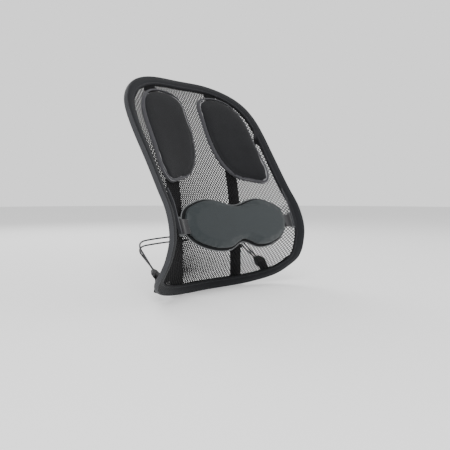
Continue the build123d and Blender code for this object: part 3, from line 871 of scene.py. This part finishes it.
def plastic_material(name, colour, worn):
    """A moulded plastic, with the tone that handling wears it to."""
    made = bpy.data.materials.new(name)
    made.use_nodes = True
    tree = made.node_tree
    shader = tree.nodes["Principled BSDF"]
    place = tree.nodes.new("ShaderNodeTexCoord")
    surface = tree.nodes.new("ShaderNodeGroup")
    surface.node_tree = grain
    tree.links.new(place.outputs["Object"], surface.inputs["Vector"])
    surface.inputs["Colour"].default_value = (*colour, 1)
    surface.inputs["Worn"].default_value = (*worn, 1)
    bump = add_node(tree, "ShaderNodeBump", Strength=0.25, Distance=0.0001,
                    Height=surface.outputs["Height"])
    tree.links.new(surface.outputs["Colour"], shader.inputs["Base Color"])
    tree.links.new(surface.outputs["Roughness"], shader.inputs["Roughness"])
    tree.links.new(bump.outputs["Normal"], shader.inputs["Normal"])
    return made


clip_plastic = plastic_material("clip plastic", (0.03, 0.032, 0.034), (0.085, 0.088, 0.092))
for name in ("slider_clip_left", "slider_clip_right"):
    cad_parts[name].data.materials.clear()
    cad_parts[name].data.materials.append(clip_plastic)

# ---------------------------------------------------------------------------------------------------
# Pad tabs and side wings: webbing from the lumbar pad round each clip's inner bar, and a strip of the
# band's fabric from the rail's inner seam round its outer bar.
clip_x, clip_v = 182.5 * mm, -3 * mm
slot_shift = 2.867 * mm
strap_low, strap_high = -3.9 * mm, 0.9 * mm
tab_width = 31 * mm
tab_cloth = cloth_material("tab webbing", (0.007, 0.007, 0.008), (0.03, 0.03, 0.033), 0.0012, 0.0004,
                           0.7, 0.3)
for side, word in ((-1, "left"), (1, "right")):
    reach = side * (clip_x - slot_shift)
    turn = rounded([(side * 157 * mm, -2.2 * mm), (side * 169 * mm, -2.2 * mm),
                    (side * 175 * mm, strap_high), (reach, strap_high), (reach, strap_low),
                    (side * 174 * mm, strap_low), (side * 169 * mm, -4.6 * mm),
                    (side * 157 * mm, -4.6 * mm)], 2)
    path = np.array([on_pad(x, clip_v, out) for x, out in turn])
    tab = strap(f"tab_{word}", path, pad_up, flat_profile(tab_width, 1.2 * mm), tab_cloth)
    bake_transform(tab)
    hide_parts(f"pad_tab_{word}")

wing_edges = mm * np.array([(183.5, 193.0, -18, 0.9), (184.4, 192.7, -4, 0.9), (184.6, 192.4, 8, 0.9),
                            (184.0, 192.1, 20, 0.85), (183.6, 191.8, 34, 0.5),
                            (183.4, 191.4, 46, 0.1), (183.6, 191.2, 55, -0.9),
                            (184.0, 191.0, 64, -2.6), (184.6, 190.8, 76, -5.1),
                            (185.0, 190.6, 83, -6.6)])
wing_section = np.array([(0.0, -0.4), (0.1, -0.6), (0.9, -0.6), (1.0, -0.4), (1.0, 0.4), (0.9, 0.6),
                         (0.1, 0.6), (0.0, 0.4)])
wing_hem = mm * np.array([(-0.9, -0.5), (-0.4, -1.1), (1.5, -1.1), (1.6, -0.7), (1.6, 0.7), (1.5, 1.1),
                          (-0.4, 1.1), (-0.9, 0.5)])
for side, word in ((-1, "left"), (1, "right")):
    low_x, high_x, rise, out = wing_edges.T
    path = np.array([on_pad(side * x, v, w) for x, v, w in zip(low_x, rise, out)])
    sides = np.broadcast_to(np.array([side, 0.0, 0]), path.shape)
    backs = np.cross(sides, np.gradient(path, axis=0)) * side
    backs /= np.linalg.norm(backs, axis=1)[:, None]
    profiles = wing_section * np.stack([high_x - low_x, np.full(len(path), mm)], -1)[:, None]
    wing = sweep(f"wing_{word}", (path, sides, backs), profiles, band_cloth, closed=False)
    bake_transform(wing)
    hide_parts(f"side_wing_{word}")
    hem_tape = sweep(f"wing_tape_{word}", (path, sides, backs), wing_hem, grey_tape, closed=False)
    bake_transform(hem_tape)

# ---------------------------------------------------------------------------------------------------
# Rear buckles and their webbing: a moulded trapezoid buckle that takes both cords in its mouth, on a
# fold of webbing sewn to the back of the lower rail.
buckle_plastic = plastic_material("buckle plastic", (0.01, 0.01, 0.011), (0.035, 0.036, 0.038))
for name in ("rear_buckle_left", "rear_buckle_right"):
    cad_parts[name].data.materials.clear()
    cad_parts[name].data.materials.append(buckle_plastic)
buckle_base = mm * np.array([170, -27, 51])
buckle_axis = np.array([-0.08, 0.80, 0.595])
buckle_axis /= np.linalg.norm(buckle_axis)
buckle_face = np.cross((0.913, -0.18, 0.365), buckle_axis)
buckle_face /= np.linalg.norm(buckle_face)
buckle_across = np.cross(buckle_axis, buckle_face)
anchor_points = mm * np.array([(-27, -18.4), (-6, 1.6), (-1, 4.6), (5.2, 4.6), (5.2, -4.6), (-1, -4.6),
                               (-6, -2.6), (-27, -22.2)])
anchor_line = rounded(anchor_points, 2)
for side, word in ((-1, "left"), (1, "right")):
    flip = np.array([side, 1, 1])
    path = buckle_base + anchor_line[:, :1] * buckle_axis + anchor_line[:, 1:] * buckle_face
    anchor = strap(f"anchor_{word}", path * flip, buckle_across * flip,
                   flat_profile(24 * mm, 1.4 * mm), tab_cloth)
    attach(anchor, "frame")
    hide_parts(f"anchor_webbing_{word}")

# ---------------------------------------------------------------------------------------------------
# Studio: a pale round floor under the support and a pale sky, with a large soft key light at the
# front left, a weak fill at the front right and a rim light behind.
floor_mesh = bmesh.new()
bmesh.ops.create_circle(floor_mesh, cap_ends=True, segments=96, radius=8)
floor_paint = bpy.data.materials.new("pale floor")
floor_paint.use_nodes = True
floor_shader = floor_paint.node_tree.nodes["Principled BSDF"]
floor_shader.inputs["Base Color"].default_value = (0.95, 0.95, 0.95, 1)
floor_shader.inputs["Roughness"].default_value = 0.9
floor_shader.inputs["Emission Color"].default_value = (1, 1, 1, 1)
floor_shader.inputs["Emission Strength"].default_value = 0.3
floor = show("floor", floor_mesh, floor_paint)
floor.location.z = cad_box[0].z

world = bpy.data.worlds.new("studio")
bpy.context.scene.world = world
world.use_nodes = True
sky = world.node_tree.nodes["Background"]
sky.inputs["Color"].default_value = (1, 1, 1, 1)
seen = world.node_tree.nodes.new("ShaderNodeLightPath")
sky_light, seen_more = 0.7, 0.6   # the sky looks brighter than the light it gives
strength = math_node(world.node_tree, "MULTIPLY_ADD", seen.outputs["Is Camera Ray"], seen_more,
                     sky_light)
world.node_tree.links.new(strength, sky.inputs["Strength"])
aim = Vector((0, -0.03, 0.25))
lamps = (("key", (-1.4, -1.6, 1.9), 1.4, 52), ("fill", (1.9, -1.2, 1.0), 1.8, 9),
         ("rim", (0.6, 1.9, 1.7), 1.4, 30))   # place, width in metres and power in watts
for name, place, size, power in lamps:
    lamp = bpy.data.lights.new(name, "AREA")
    lamp.size, lamp.energy = size, power
    light = bpy.data.objects.new(name, lamp)
    light.location = place
    light.rotation_mode = "QUATERNION"
    light.rotation_quaternion = (aim - light.location).to_track_quat("-Z", "Y")
    bpy.context.scene.collection.objects.link(light)
